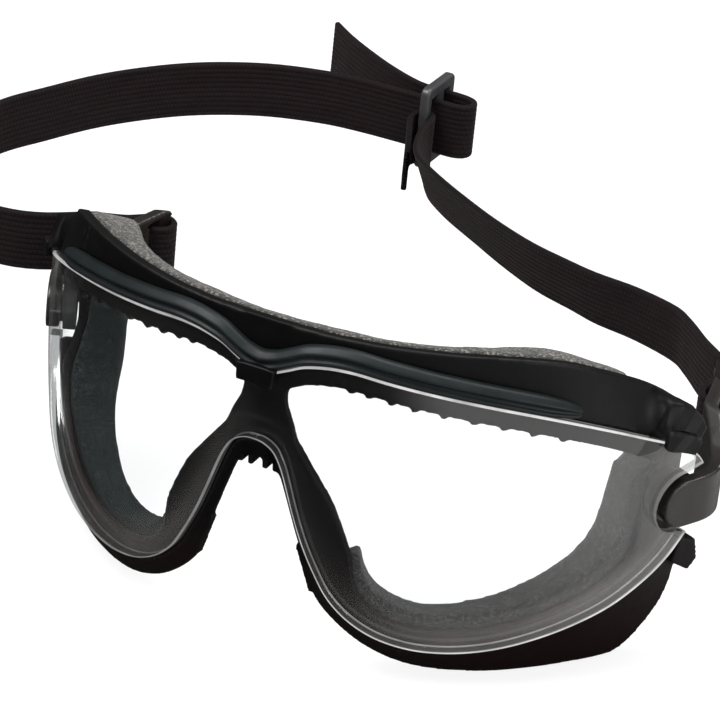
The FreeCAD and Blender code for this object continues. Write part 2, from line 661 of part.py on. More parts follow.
def make_strap_end(lead):
    """Sewn eye round the left ring's bar, its stitching, and where the strap starts."""
    axis = arm_point(BAR_BACK, BAR_IN, 0)
    length = math.hypot(*lead)
    lead_x, lead_y = lead[0] / length, lead[1] / length

    def strap_point(run, across, z):
        return Vec(axis.x + lead_x * run - lead_y * across,
                   axis.y + lead_y * run + lead_x * across, z)

    bottom = STRAP_Z - STRAP_W / 2
    half_t = STRAP_T + .05      # half thickness of the doubled tongue
    outer = Part.makeCylinder(EYE_R + STRAP_T, STRAP_W, strap_point(0, 0, bottom))
    tongue = polygon_face([strap_point(run, across, bottom) for run, across in
                           ((TONGUE_START, half_t), (TONGUE_END, half_t),
                            (TONGUE_END, -half_t), (TONGUE_START, -half_t))])
    tongue = tongue.extrude(Vec(0, 0, STRAP_W))
    inner = Part.makeCylinder(EYE_R, STRAP_W + 2, strap_point(0, 0, bottom - 1))
    body = outer.fuse(tongue).cut(inner)
    # two upright rows of stitching on each face of the tongue
    stitches = [Part.makeCylinder(.22, 10.0, strap_point(run, face * (half_t + .3), STRAP_Z - 5.0))
                for run in (5.2, 10.6) for face in (1, -1)]
    start = strap_point(TONGUE_END + STRAP_START_GAP, 0, STRAP_Z)
    return body, Part.makeCompound(stitches), start


def save_webbing():
    body, stitching, start = make_strap_end(LEFT_LEAD)
    save(body, "strap_end_left")
    save(stitching, "strap_stitching_left")
    save(ribbon([(start.x, start.y, start.z)] + LEFT_PATH), "strap_left")

    body, stitching, start = make_strap_end(RIGHT_LEAD)
    save(mirror(body), "strap_end_right")
    save(mirror(stitching), "strap_stitching_right")
    save(ribbon([(-start.x, start.y, start.z)] + RIGHT_PATH), "strap_right")

    save(ribbon(FOLD_PATH), "strap_fold_and_tail")


# ---------------------------------------------------------------- slider
SLIDER_FRONT = SLIDER_Y - SLIDER_LEN / 2


def make_slider():
    x = SLIDER_X - SLIDER_T / 2
    body = Part.makeBox(SLIDER_T, SLIDER_LEN, SLIDER_H,
                        Vec(x, SLIDER_FRONT, SLIDER_Z - SLIDER_H / 2))
    body = body.makeFillet(1.6, [edge for edge in body.Edges
                                 if abs(edge.Vertexes[0].X - edge.Vertexes[1].X) > 1])
    mean_bar = (SLIDER_LEN - 2 * SLOT_W) / 3.0
    first_slot = SLIDER_FRONT + mean_bar * .85
    second_slot = first_slot + SLOT_W + mean_bar * 1.3
    for y in (first_slot, second_slot):
        body = body.cut(Part.makeBox(10, SLOT_W, SLOT_H, Vec(x - 4, y, SLIDER_Z - SLOT_H / 2)))
    # the long upright edges stay sharp if this fillet can't be made
    try:
        uprights = [edge for edge in body.Edges if edge.Length > 12
                    and abs(edge.Vertexes[0].Z - edge.Vertexes[-1].Z) > 10]
        body = body.makeFillet(.45, uprights)
    except Exception:
        pass
    return body


def make_slider_strap_end():
    """Webbing end folded round the slider's front bar."""
    # offsets from the slider centre in x and its front edge in y, then z
    path = [(-2.5, 1.7, -9.6), (-2.6, 0, -9.8), (-1.9, -1.7, -10), (.6, -3.4, -10.3),
            (4.2, -7.2, -10.6), (7.4, -12.0, -10.6)]
    return ribbon([(SLIDER_X + x, SLIDER_FRONT + y, z) for x, y, z in path])


save(make_lens(), "lens")
save(make_frame(), "face_frame")
save(make_trim(), "brow_trim")
save(make_clip(), "bridge_clip")
save(make_brow_foam(), "brow_foam")
save_pair(make_cheek_foam(), "cheek_foam")
save_pair(make_arm(), "strap_arm")
save_pair(make_housing(), "pivot_housing")
save_pair(make_pin(), "pivot_pin")
save_pair(make_retainer(), "pivot_retainer")
save_webbing()
save(make_slider(), "strap_buckle")
save(make_slider_strap_end(), "strap_end_buckle")
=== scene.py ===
# Safety goggles: one wrap-round clear lens, brow trim, black face frame, foam seals, and an
# elastic strap held by two side arms and a slider.
# The wearer faces -y with z up, so the goggles' left side is at +x. Lengths are in mm until
# they reach Blender, unless a comment says metres.
import bpy
import bmesh
import math
import numpy as np
from mathutils import Vector, Matrix, noise


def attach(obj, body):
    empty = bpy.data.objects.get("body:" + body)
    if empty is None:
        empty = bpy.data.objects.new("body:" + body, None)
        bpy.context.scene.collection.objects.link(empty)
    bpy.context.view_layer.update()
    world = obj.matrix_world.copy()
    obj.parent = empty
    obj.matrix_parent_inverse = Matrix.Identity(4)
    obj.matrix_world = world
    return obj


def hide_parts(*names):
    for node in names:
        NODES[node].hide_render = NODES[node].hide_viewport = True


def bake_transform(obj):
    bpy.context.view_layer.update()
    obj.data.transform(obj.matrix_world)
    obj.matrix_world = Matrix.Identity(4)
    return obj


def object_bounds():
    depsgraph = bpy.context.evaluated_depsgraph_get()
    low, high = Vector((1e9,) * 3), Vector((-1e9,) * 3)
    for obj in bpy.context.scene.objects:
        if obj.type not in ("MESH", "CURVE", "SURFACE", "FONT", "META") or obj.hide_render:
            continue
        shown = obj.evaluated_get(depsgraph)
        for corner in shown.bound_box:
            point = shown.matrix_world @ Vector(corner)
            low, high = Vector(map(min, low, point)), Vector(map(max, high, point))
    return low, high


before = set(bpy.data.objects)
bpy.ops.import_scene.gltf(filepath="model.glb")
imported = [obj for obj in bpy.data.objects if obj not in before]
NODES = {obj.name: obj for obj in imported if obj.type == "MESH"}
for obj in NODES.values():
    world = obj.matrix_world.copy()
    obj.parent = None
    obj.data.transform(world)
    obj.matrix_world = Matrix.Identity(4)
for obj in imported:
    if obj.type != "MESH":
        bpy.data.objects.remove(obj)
CAD_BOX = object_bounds()
MM = 0.001
scene = bpy.context.scene

# ------------------------------------------------------------------ lens surface
# Seen from above the lens is half a superellipse; from the side it bows gently.
HALF_WIDTH, DEPTH, POWER = 78.0, 90.1, 2.153
BOW_RADIUS = 278.3
LENS_THICKNESS = 2.2
_angle = 0.5 * np.pi * np.arange(4000) / 4000
PLAN_X = HALF_WIDTH * np.sin(_angle) ** (2 / POWER)
PLAN_Y = DEPTH - DEPTH * np.cos(_angle) ** (2 / POWER)
PLAN_ARC = np.r_[0, np.cumsum(np.hypot(np.diff(PLAN_X), np.diff(PLAN_Y)))]
TANGENT_STEP = 0.5


def plan(arc):
    """x, y and inward normal of the plan curve, by signed arc length from the centre line."""
    arc = np.asarray(arc, float)
    dist = np.abs(arc)
    ahead, behind = dist + TANGENT_STEP, dist - TANGENT_STEP
    x, y = np.interp(dist, PLAN_ARC, PLAN_X), np.interp(dist, PLAN_ARC, PLAN_Y)
    x1, y1 = np.interp(ahead, PLAN_ARC, PLAN_X), np.interp(ahead, PLAN_ARC, PLAN_Y)
    x0 = np.where(behind >= 0, 1, -1) * np.interp(np.abs(behind), PLAN_ARC, PLAN_X)
    y0 = np.interp(np.abs(behind), PLAN_ARC, PLAN_Y)
    tx, ty = x1 - x0, y1 - y0
    length = np.hypot(tx, ty)
    tx, ty = tx / length, ty / length
    sign = np.where(arc < 0, -1.0, 1.0)
    return x * sign, y, -ty * sign, tx


def lens_point(arc, z, depth=0.0):
    """Point at an arc length and height, depth mm inwards of the lens's outer face."""
    arc, z, depth = np.broadcast_arrays(*(np.asarray(v, float) for v in (arc, z, depth)))
    x, y, nx, ny = plan(arc)
    tilt = np.arctan2(z, BOW_RADIUS)
    inward = z * z / (2 * BOW_RADIUS) + depth * np.cos(tilt)
    return np.stack([x + nx * inward, y + ny * inward, z - depth * np.sin(tilt)], -1)


def catmull_rom(rows, t):
    """Smooth curve through the rows; t counts in rows."""
    rows = np.asarray(rows, float)
    t = np.asarray(t, float)
    n = len(rows)
    i = np.clip(np.floor(t).astype(int), 0, n - 2)
    u = (t - i)[..., None]
    a, b, c = rows[np.maximum(i - 1, 0)], rows[i], rows[i + 1]
    d = rows[np.minimum(i + 2, n - 1)]
    return 0.5 * (2 * b + (c - a) * u + (2 * a - 5 * b + 4 * c - d) * u * u
                  + (3 * b - a - 3 * c + d) * u ** 3)


# Lens outline, +x half, from the top centre round to the nose: arc length, z, and the outward
# direction in (arc, z). The first and last rows lie past the centre line and guide the curve.
OUTLINE = [
    (-2.5, 18.3, 0, 1), (0, 18.0, 0, 1), (2.8, 18.6, 0, 1), (5.5, 19.8, 0, 1), (8.5, 21.2, 0, 1),
    (12.1, 22.0, 0, 1), (15.3, 22.3, 0, 1), (19.1, 22.2, 0, 1), (24.4, 21.5, 0, 1),
    (30.3, 20.7, 0, 1), (37.7, 19.6, 0, 1), (45.3, 18.3, 0, 1), (53, 16.7, 0, 1),
    (61, 14.6, 0, 1), (69.7, 11.8, 0, 1), (77.9, 8.7, .15, .99), (83.5, 6.4, .3, .95),
    (88.0, 4.1, .55, .84), (91.5, .8, .85, .53), (92.9, -3.5, 1, .05), (93.0, -8, 1, -.1),
    (91.8, -12, .9, -.43), (89.3, -15.3, .85, -.53), (86.2, -19, .8, -.6),
    (81.6, -22.8, .65, -.76), (74.4, -27.1, .45, -.89), (66.8, -30.0, .3, -.95),
    (59.5, -32.2, .2, -.98), (52.4, -33.9, .1, -.99), (45.6, -34.9, 0, -1),
    (39.4, -35.2, -.05, -1), (33.4, -34.8, -.15, -.99), (27, -33.2, -.35, -.94),
    (21.4, -30.2, -.6, -.8), (17, -26, -.8, -.6), (13.9, -20.8, -.88, -.47),
    (11.3, -15.4, -.93, -.37), (9.1, -9.6, -.95, -.3), (7.1, -3.6, -.93, -.37),
    (5.8, -.2, -.8, -.6), (4.2, 2.4, -.55, -.84), (2.1, 3.7, -.2, -.98), (0, 4.0, 0, -1),
    (-2.5, 3.6, 0, -1)]
TOP_MID, TEMPLE_TOP, TEMPLE_LOW, NOSE_MID = 1, 18, 21, 42          # rows of OUTLINE


def outline(t, outward):
    """Arc length and z at outline station t, moved outwards by a distance."""
    row = catmull_rom(OUTLINE, t)
    length = np.hypot(row[..., 2], row[..., 3])
    return np.stack([row[..., 0] + outward * (row[..., 2] / length),
                     row[..., 1] + outward * (row[..., 3] / length)], -1)


def outline_point(t, outward, depth, side=1):
    flat = outline(t, outward)
    return lens_point(side * flat[..., 0], flat[..., 1], depth)


# ------------------------------------------------------------------ mesh helpers
def new_mesh(name, verts, faces, mats, face_mat=None, smooth=True, normals=None, uvs=None):
    me = bpy.data.meshes.new(name)
    points = np.asarray(verts, float) * MM
    me.from_pydata(points.tolist(), [], [tuple(int(i) for i in f) for f in faces])
    for mat in mats:
        me.materials.append(mat)
    if face_mat is not None:
        me.polygons.foreach_set("material_index", np.asarray(face_mat, np.int32))
    me.polygons.foreach_set("use_smooth", np.full(len(me.polygons), smooth))
    if uvs is not None:
        layer = me.uv_layers.new(name="UVMap")
        corner_vert = np.zeros(len(me.loops), np.int32)
        me.loops.foreach_get("vertex_index", corner_vert)
        layer.data.foreach_set("uv", np.asarray(uvs, np.float32)[corner_vert].ravel())
    me.update()
    if normals is not None:
        me.normals_split_custom_set_from_vertices([tuple(n) for n in normals])
    ob = bpy.data.objects.new(name, me)
    scene.collection.objects.link(ob)
    return ob


def face_outwards(ob):
    bm = bmesh.new()
    bm.from_mesh(ob.data)
    bmesh.ops.recalc_face_normals(bm, faces=bm.faces)
    bm.to_mesh(ob.data)
    bm.free()


def evaluated_mesh(ob):
    graph = bpy.context.evaluated_depsgraph_get()
    graph.update()
    return bpy.data.meshes.new_from_object(ob.evaluated_get(graph))


def get_vertices(me, field="co"):
    values = np.empty(len(me.vertices) * 3)
    me.vertices.foreach_get(field, values)
    return values.reshape(-1, 3)


def set_vertices(me, points):
    me.vertices.foreach_set("co", points.reshape(-1))
    me.update()


def soft_copy(node, name, voxel, smoothing, material):
    """Watertight, edge-rounded copy of a CAD node's mesh."""
    me = NODES[node].data.copy()
    me.materials.clear()
    bm = bmesh.new()
    bm.from_mesh(me)
    bmesh.ops.remove_doubles(bm, verts=bm.verts, dist=1e-6)
    bm.to_mesh(me)
    bm.free()
    source = bpy.data.objects.new(name + "_tmp", me)
    scene.collection.objects.link(source)
    remesh = source.modifiers.new("r", "REMESH")
    remesh.mode = "VOXEL"
    remesh.voxel_size = voxel * MM
    remesh.adaptivity = 0.0
    smooth = source.modifiers.new("s", "SMOOTH")
    smooth.factor = 0.5
    smooth.iterations = smoothing
    out = evaluated_mesh(source)
    out.name = name
    bpy.data.objects.remove(source)
    ob = bpy.data.objects.new(name, out)
    scene.collection.objects.link(ob)
    for p in out.polygons:
        p.use_smooth = True
    give(ob, material)
    return ob


def grid_faces(rows, cols, close=False, flip=False):
    faces = []
    for i in range(rows - 1):
        for j in range(cols if close else cols - 1):
            k = (j + 1) % cols
            quad = (i * cols + j, i * cols + k, (i + 1) * cols + k, (i + 1) * cols + j)
            faces.append(quad[::-1] if flip else quad)
    return faces


def capped_faces(rows, cols):
    """Faces of a closed section swept through a number of rows, with both ends capped."""
    last = (rows - 1) * cols
    return (grid_faces(rows, cols, close=True)
            + [tuple(range(cols))[::-1], tuple(range(last, last + cols))])


def tube(path, radius, sides=8):
    """Closed tube along a polyline, tapered at its ends; returns vertices and faces."""
    tangent = np.gradient(path, axis=0)
    tangent /= np.linalg.norm(tangent, axis=1)[:, None] + 1e-12
    a = np.cross(tangent, np.array([0.31, 0.45, 0.83]))   # any direction the path never takes
    a /= np.linalg.norm(a, axis=1)[:, None]
    b = np.cross(tangent, a)
    turn = np.linspace(0, 2 * np.pi, sides, endpoint=False)
    radii = np.full(len(path), radius)
    radii[0] = radii[-1] = radius * 0.35
    ring = (np.cos(turn)[None, :, None] * a[:, None] + np.sin(turn)[None, :, None] * b[:, None])
    verts = path[:, None] + radii[:, None, None] * ring
    return verts.reshape(-1, 3), capped_faces(len(path), sides)


def joined(parts):
    verts, faces, start = [], [], 0
    for part_verts, part_faces in parts:
        verts.append(part_verts)
        faces += [tuple(i + start for i in f) for f in part_faces]
        start += len(part_verts)
    return np.concatenate(verts), faces


def give(ob, key):
    ob.data.materials.clear()
    ob.data.materials.append(MATS[key])


def fit(ob, body, node):
    """Hang an object on a moving body, in place of a CAD node."""
    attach(ob, body)
    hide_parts(node)


# ------------------------------------------------------------------ shader helpers
class Shader:
    """Builds the node tree of a material or world; most methods return an output socket."""

    def __init__(self, owner, output="OutputMaterial"):
        owner.use_nodes = True
        self.owner = owner
        self.tree = owner.node_tree
        self.tree.nodes.clear()
        self.output = self.node(output)

    def feed(self, socket, value):
        if isinstance(value, bpy.types.NodeSocket):
            self.tree.links.new(value, socket)
        elif socket.type == "RGBA":
            socket.default_value = (*value, 1)
        else:
            socket.default_value = value

    def node(self, kind, attrs=None, **inputs):
        """Input names take _ for a space; i0, i1 ... are input numbers."""
        node = self.tree.nodes.new("ShaderNode" + kind)
        for key, value in (attrs or {}).items():
            setattr(node, key, value)
        for key, value in inputs.items():
            numbered = key[0] == "i" and key[1:].isdigit()
            self.feed(node.inputs[int(key[1:]) if numbered else key.replace("_", " ")], value)
        return node

    def out(self, kind, attrs=None, **inputs):
        return self.node(kind, attrs, **inputs).outputs[0]

    def noise(self, co, **inputs):
        return self.out("TexNoise", Vector=co, **inputs)

    def bump(self, height, **inputs):
        return self.out("Bump", Height=height, **inputs)

    def object_coords(self):
        return self.out("Mapping", Vector=self.node("TexCoord").outputs["Object"])

    def uv_coords(self):
        return self.node("TexCoord").outputs["UV"]

    def axes(self, vector):
        return self.node("SeparateXYZ", Vector=vector).outputs

    def ramp(self, value, stops):
        """Grey ramp; each stop is (position, grey)."""
        node = self.node("ValToRGB", i0=value)
        elements = node.color_ramp.elements
        while len(elements) < len(stops):
            elements.new(0.5)
        for element, (position, grey) in zip(elements, stops):
            element.position = position
            element.color = (grey, grey, grey, 1)
        return node.outputs["Color"]

    def rise(self, value, start, end, weight=None):
        """0 up to start, 1 from end on, times the weight."""
        grey = self.ramp(value, [(start, 0.0), (end, 1.0)])
        return grey if weight is None else self.mul(grey, weight)

    def fall(self, value, start, end, weight=None):
        grey = self.ramp(value, [(start, 1.0), (end, 0.0)])
        return grey if weight is None else self.mul(grey, weight)

    def smooth_range(self, value, **limits):
        return self.out("MapRange", {"interpolation_type": "SMOOTHSTEP"}, Value=value, **limits)

    def math(self, operation, a, b=0.0):
        return self.out("Math", {"operation": operation}, i0=a, i1=b)

    def add(self, a, b):
        return self.math("ADD", a, b)

    def mul(self, a, b):
        return self.math("MULTIPLY", a, b)

    def invert(self, value):
        return self.math("SUBTRACT", 1.0, value)

    def shifted(self, value, shift, gain):
        return self.mul(self.add(value, shift), gain)

    def mix(self, amount, a, b):
        """Colour a, turning into colour b as the amount rises to 1."""
        return self.node("Mix", {"data_type": "RGBA"}, i0=amount, i6=a, i7=b).outputs[2]

    def mix_shaders(self, amount, a, b):
        return self.out("MixShader", i0=amount, i1=a, i2=b)

    def end(self, surface):
        self.tree.links.new(surface, self.output.inputs["Surface"])
        return self.owner


def new_material(name):
    return Shader(bpy.data.materials.new(name))


# ------------------------------------------------------------------ materials
# Object coordinates in metres, laid onto 0-1 for ramps.
ACROSS = dict(shift=.07, gain=7.0)       # x from -70 mm to +73 mm
UPWARD = dict(shift=.05, gain=10.0)      # z from -50 mm to +50 mm


def plastic(name, base, mottle, rough, grain, spec, coat=0.0, fleck=None,
            edge=(.06, .06, .062), low=None):
    """Moulded plastic: mottled colour, fine grain, lighter edges (patchy wear and a painted edge
    highlight), smudged gloss.
    """
    m = new_material(name)
    co = m.object_coords()
    blotch = m.noise(co, Scale=90.0, Detail=4.0, Roughness=0.6)
    fine = m.noise(co, Scale=2600.0, Detail=2.0, Roughness=0.5)
    smudge = m.noise(co, Scale=230.0, Detail=5.0, Roughness=0.65)
    colour = m.mix(m.rise(blotch, .35, .65), base, mottle)
    colour = m.mix(m.rise(fine, .5, .75, weight=.25), colour, fleck or mottle)
    geometry = m.node("NewGeometry")
    if low:                              # another tone low down; heights in metres
        lowness = m.smooth_range(m.axes(geometry.outputs["Position"])[2],
                                 From_Min=-.012, From_Max=-.032, To_Min=0.0, To_Max=.8)
        colour = m.mix(lowness, colour, low)
    # lighter convex edges in patches: partly wear, partly a painted edge highlight
    corners = m.rise(geometry.outputs["Pointiness"], .505, .56)
    wear_and_edge_highlight = m.mul(m.mul(corners, smudge), .5)
    colour = m.mix(wear_and_edge_highlight, colour, edge)
    roughness = m.add(m.rise(smudge, .3, .7, weight=.14), rough - .05)
    grain_bump = m.bump(fine, Strength=grain, Distance=0.00012)
    waviness = m.noise(co, Scale=60.0, Detail=1.0)
    bump = m.bump(waviness, Strength=0.12, Distance=0.0006, Normal=grain_bump)
    return m.end(m.out("BsdfPrincipled", Base_Color=colour, Roughness=roughness, Normal=bump,
                       Specular_IOR_Level=spec, Coat_Weight=coat, Coat_Roughness=0.12))


def foam_material(name, dark, light, speck, gloss=.15):
    """Open-cell foam: dark cell walls, pale broken-cell specks, deep pores darkened with painted
    shade.
    """
    m = new_material(name)
    co = m.object_coords()
    cells = m.out("TexVoronoi", {"feature": "DISTANCE_TO_EDGE"}, Vector=co, Scale=2900.0)
    pores = m.node("TexVoronoi", Vector=co, Scale=2500.0)
    fine = m.noise(co, Scale=2300.0, Detail=3.0, Roughness=.65)
    patches = m.noise(co, Scale=120.0, Detail=2.0, Roughness=.5)
    colour = m.mix(m.rise(fine, .42, .6), dark, light)
    colour = m.mix(m.rise(pores.outputs["Color"], .62, .78, weight=.75), colour, speck)
    colour = m.mix(m.rise(patches, .4, .7, weight=.35), colour, dark)
    wall = m.fall(cells, 0.0, .28)
    # painted shade: the pore hollows away from the cell walls are darkened
    colour = m.mix(m.mul(m.invert(wall), .35), colour, dark)
    height = m.add(m.mul(wall, .7), m.mul(fine, .8))
    bump = m.bump(height, Strength=.7, Distance=0.00025)
    return m.end(m.out("BsdfPrincipled", Base_Color=colour, Roughness=.95, Normal=bump,
                       Specular_IOR_Level=gloss, Sheen_Weight=gloss, Sheen_Roughness=.6))


RIBS = 11                                # lengthwise ribs across the webbing
PICKS = 15.0                             # cross threads in one webbing width of length


def webbing_material(name, dark, light, fibre):
    """Woven elastic: ribs lighter on their crests (painted highlight), cross picks darker
    between them (painted shade), stray fibres, soft sheen.
    UV x runs across (0-1), UV y along, in webbing widths."""
    m = new_material(name)
    uv = m.uv_coords()
    x, y = m.axes(uv)[:2]
    rib = m.math("ABSOLUTE", m.math("SINE", m.mul(x, math.pi * RIBS)))
    stagger = m.mul(m.math("FLOOR", m.mul(x, RIBS)), .5)
    pick_phase = m.mul(m.add(m.mul(y, PICKS), stagger), math.pi)
    pick = m.math("ABSOLUTE", m.math("SINE", pick_phase))
    fibre_uv = m.out("Mapping", Vector=uv, Scale=(60, 14, 1))
    fibres = m.noise(fibre_uv, Scale=3.0, Detail=4.0, Roughness=.7)
    patch_uv = m.out("Mapping", Vector=uv, Scale=(1.2, .35, 1))
    patches = m.noise(patch_uv, Scale=3.0, Detail=3.0)
    # painted highlight on the rib crests and painted shade in the gaps between the picks,
    # following the bump's high and low places
    colour = m.mix(m.rise(rib, .05, .6), dark, light)
    colour = m.mix(m.fall(pick, .2, .7, weight=.45), colour, dark)
    colour = m.mix(m.rise(fibres, .52, .8, weight=.5), colour, fibre)
    colour = m.mix(m.rise(patches, .35, .7, weight=.3), colour, dark)
    height = m.add(m.mul(rib, .8), m.mul(pick, .35))
    height = m.add(height, m.mul(fibres, .35))
    bump = m.bump(height, Strength=.75, Distance=0.00022)
    return m.end(m.out("BsdfPrincipled", Base_Color=colour, Roughness=.82, Normal=bump,
                       Specular_IOR_Level=.14, Sheen_Weight=.03, Sheen_Roughness=.45,
                       Sheen_Tint=(.95, .75, .76)))


def thread_material(name, dark, light):
    m = new_material(name)
    co = m.object_coords()
    twist = m.node("TexWave", {"wave_type": "BANDS", "bands_direction": "DIAGONAL"},
                   Vector=co, Scale=900.0, Distortion=1.0).outputs[1]
    fuzz = m.noise(co, Scale=4000.0, Detail=2.0)
    # painted highlight: the twist bands are lighter along the bump's ridges
    colour = m.mix(twist, dark, light)
    bump = m.bump(m.add(twist, fuzz), Strength=.7, Distance=0.0001)
    return m.end(m.out("BsdfPrincipled", Base_Color=colour, Roughness=.6, Normal=bump))


def lens_material(name):
    """Clear lens: see-through, stronger reflections at grazing angles, a faint haze, and a
    painted veil of light that is unequal from side to side.
    UV y is 1 near the lower edge and the ends, and falls to 0 away from them."""
    m = new_material(name)
    co = m.object_coords()
    waviness = m.noise(co, Scale=22.0, Detail=1.0)
    dust = m.noise(co, Scale=700.0, Detail=5.0, Roughness=.7)
    bump = m.bump(waviness, Strength=.03, Distance=0.0005)
    facing = m.node("VectorMath", {"operation": "DOT_PRODUCT"},
                    i0=m.node("NewGeometry").outputs["Incoming"], i1=bump).outputs["Value"]
    # reflection: a base level by place, plus a grazing term that spreads wider on the +x side
    side = m.shifted(m.axes(co)[0], **ACROSS)
    falloff = m.math("SUBTRACT", 8.5, m.rise(side, .42, .56, weight=3.5))
    graze = m.math("POWER", m.invert(m.math("ABSOLUTE", facing)), falloff)
    base_mirror = m.ramp(side, [(.0, .014), (.42, .012), (.56, .042)])
    mirror = m.add(base_mirror, m.mul(graze, .93))
    roughness = m.add(.035, m.rise(dust, .55, .8, weight=.08))
    gloss = m.out("BsdfGlossy", Color=(1, 1, 1), Roughness=roughness, Normal=bump)
    clear = m.out("BsdfTransparent", Color=(.972, .978, .98))
    haze_and_veil_layer = m.out("BsdfDiffuse", Color=(.95, .90, .87))
    glass = m.mix_shaders(mirror, clear, gloss)
    # haze: strongest by the edges and uneven; the side-to-side variation is a painted veil of
    # light, strongest at +x and none at the nose
    edge_nearness = m.axes(m.uv_coords())[1]
    uneven = m.noise(co, Scale=40.0, Detail=2.0)
    haze_and_painted_veil = m.mul(m.ramp(edge_nearness, [(.0, .16), (.35, .45), (.75, 1.0)]),
                 m.add(.6, m.mul(uneven, .6)))
    x = m.axes(co)[0]
    # painted veil of light: the hazy layer's weight by place across the lens
    painted_veil_by_place = m.ramp(m.shifted(x, **ACROSS),
                      [(.0, .12), (.15, .17), (.3, .46), (.42, .26),
                       (.5, .0), (.62, .12), (.74, .8), (.92, 1.0)])
    painted_veil_by_place = m.add(painted_veil_by_place, m.rise(m.shifted(x, **ACROSS), .82, .95, weight=.45))
    haze_and_painted_veil = m.mul(haze_and_painted_veil, painted_veil_by_place)
    haze_and_painted_veil = m.add(m.mul(haze_and_painted_veil, .043), m.rise(dust, .62, .8, weight=.008))
    return m.end(m.mix_shaders(haze_and_painted_veil, glass, haze_and_veil_layer))


def rim_material(name):
    """Polished lens edge with a painted glow at its two corners, standing in for light piped
    through the lens.
    UV x runs from the outer face (0) to the inner face (1)."""
    m = new_material(name)
    painted_glow = m.ramp(m.axes(m.uv_coords())[0],
                  [(0.0, 1.0), (.32, .95), (.42, .05), (.74, .03), (.86, .3), (1.0, .4)])
    co = m.object_coords()
    uneven = m.noise(co, Scale=130.0, Detail=4.0, Roughness=.7)
    painted_glow = m.mul(painted_glow, m.ramp(uneven, [(.3, .55), (.6, 1.0)]))
    x, _, z = m.axes(co)
    # the painted glow is brighter towards +x and higher up
    by_x = m.ramp(m.shifted(x, **ACROSS), [(.0, .22), (.48, .30), (.62, .85), (.75, 1.0)])
    by_z = m.ramp(m.shifted(z, **UPWARD), [(.52, 0.0), (.62, .62)])
    painted_glow = m.mul(painted_glow, m.math("MAXIMUM", by_x, by_z))
    # the painted glow is turned down on the notch walls at both temples
    outboard = m.rise(m.mul(m.math("ABSOLUTE", x), 10.0), .545, .565)
    notch_band = m.ramp(m.shifted(z, **UPWARD), [(.34, 0.0), (.36, 1.0), (.49, 1.0), (.52, 0.0)])
    painted_glow = m.mul(painted_glow, m.invert(m.mul(m.mul(outboard, notch_band), .86)))
    light = m.out("Emission", Color=(1, .985, .975), Strength=.85)
    gloss = m.out("BsdfGlossy", Color=(1, 1, 1), Roughness=.12)
    clear = m.out("BsdfTransparent", Color=(.5, .52, .52))
    polished = m.mix_shaders(.16, clear, gloss)
    return m.end(m.mix_shaders(painted_glow, polished, light))


MATS = {
    "frame": plastic("black_frame_satin", base=(.0013, .0013, .0014),
                     mottle=(.0024, .0021, .0021), rough=.44, grain=.06, spec=.15,
                     fleck=(.004, .003, .0028), edge=(.018, .018, .019),
                     low=(.0075, .0022, .0019)),
    "trim": plastic("brow_trim_satin", base=(.0042, .0066, .0070),
                    mottle=(.0070, .0102, .0104), rough=.44, grain=.10, spec=.22,
                    edge=(.018, .022, .022)),
    "arm": plastic("arm_gloss", base=(.0070, .0048, .0042), mottle=(.0115, .0082, .0072),
                   rough=.30, grain=.08, spec=.38, coat=.2, fleck=(.02, .014, .011)),
    "pivot": plastic("pivot_black", base=(.006, .006, .006), mottle=(.011, .0105, .010),
                     rough=.30, grain=.15, spec=.5, coat=.2),
    "slider": plastic("slider_satin", base=(.022, .022, .0235), mottle=(.034, .034, .036),
                      rough=.34, grain=.35, spec=.5, edge=(.09, .09, .095)),
    "brow_foam": foam_material("seal_foam_open_cell", dark=(.0060, .0057, .0050),
                               light=(.050, .047, .041), speck=(.23, .215, .185)),
    "cheek_left": foam_material("seal_foam_dense_grey", dark=(.0080, .0082, .0078),
                                light=(.024, .0245, .0230), speck=(.085, .083, .076)),
    # painted shade: a darker, less glossy copy of the dense cheek foam, for the -x pad
    "cheek_right_painted_shade": foam_material("seal_foam_dense_painted_shade", dark=(.0040, .0062, .0060),
                                 light=(.0105, .0150, .0145), speck=(.027, .033, .032),
                                 gloss=.02),
    # the webbing's light colour is the painted highlight on the rib crests
    "webbing": webbing_material("elastic_webbing", dark=(.0009, .0004, .0006),
                                light=(.0088, .0044, .0052), fibre=(.022, .011, .013)),
    "thread": thread_material("black_thread", dark=(.02, .016, .018),
                              light=(.05, .042, .045)),
    "lens": lens_material("clear_polycarbonate"),
    "rim": rim_material("lens_polished_edge_painted_glow"),
}

# ------------------------------------------------------------------ temple coordinates
# In plan, from a point on the +x temple: back along the lens's outer face, and inwards from it.
TEMPLE_ARC = 84.0
TEMPLE = lens_point(TEMPLE_ARC, -4.4)[:2]
TEMPLE_INWARD = np.array(plan(TEMPLE_ARC)[2:])
TEMPLE_BACK = np.array([TEMPLE_INWARD[1], -TEMPLE_INWARD[0]])


def temple_point(back, inward):
    return TEMPLE + TEMPLE_BACK * back + TEMPLE_INWARD * inward


# ------------------------------------------------------------------ lens
PIVOT_BACK, PIVOT_Z = 3.6, -7.2
NOTCH_RADIUS = 6.6
NOTCH_MOUTH, NOTCH_MOUTH_HALF = 13.0, 9.6          # how far back the cutter reaches; half height
LENS_INSET = .32                                   # lens edge inside the outline
# Edge rings from the outer to the inner face: outwards, depth. The corners are bevelled.
RIM_RINGS = [(-.1, .07), (0.0, .3), (0.0, .8), (0.0, 1.4), (0.0, 1.9),
             (-.1, LENS_THICKNESS - .07)]


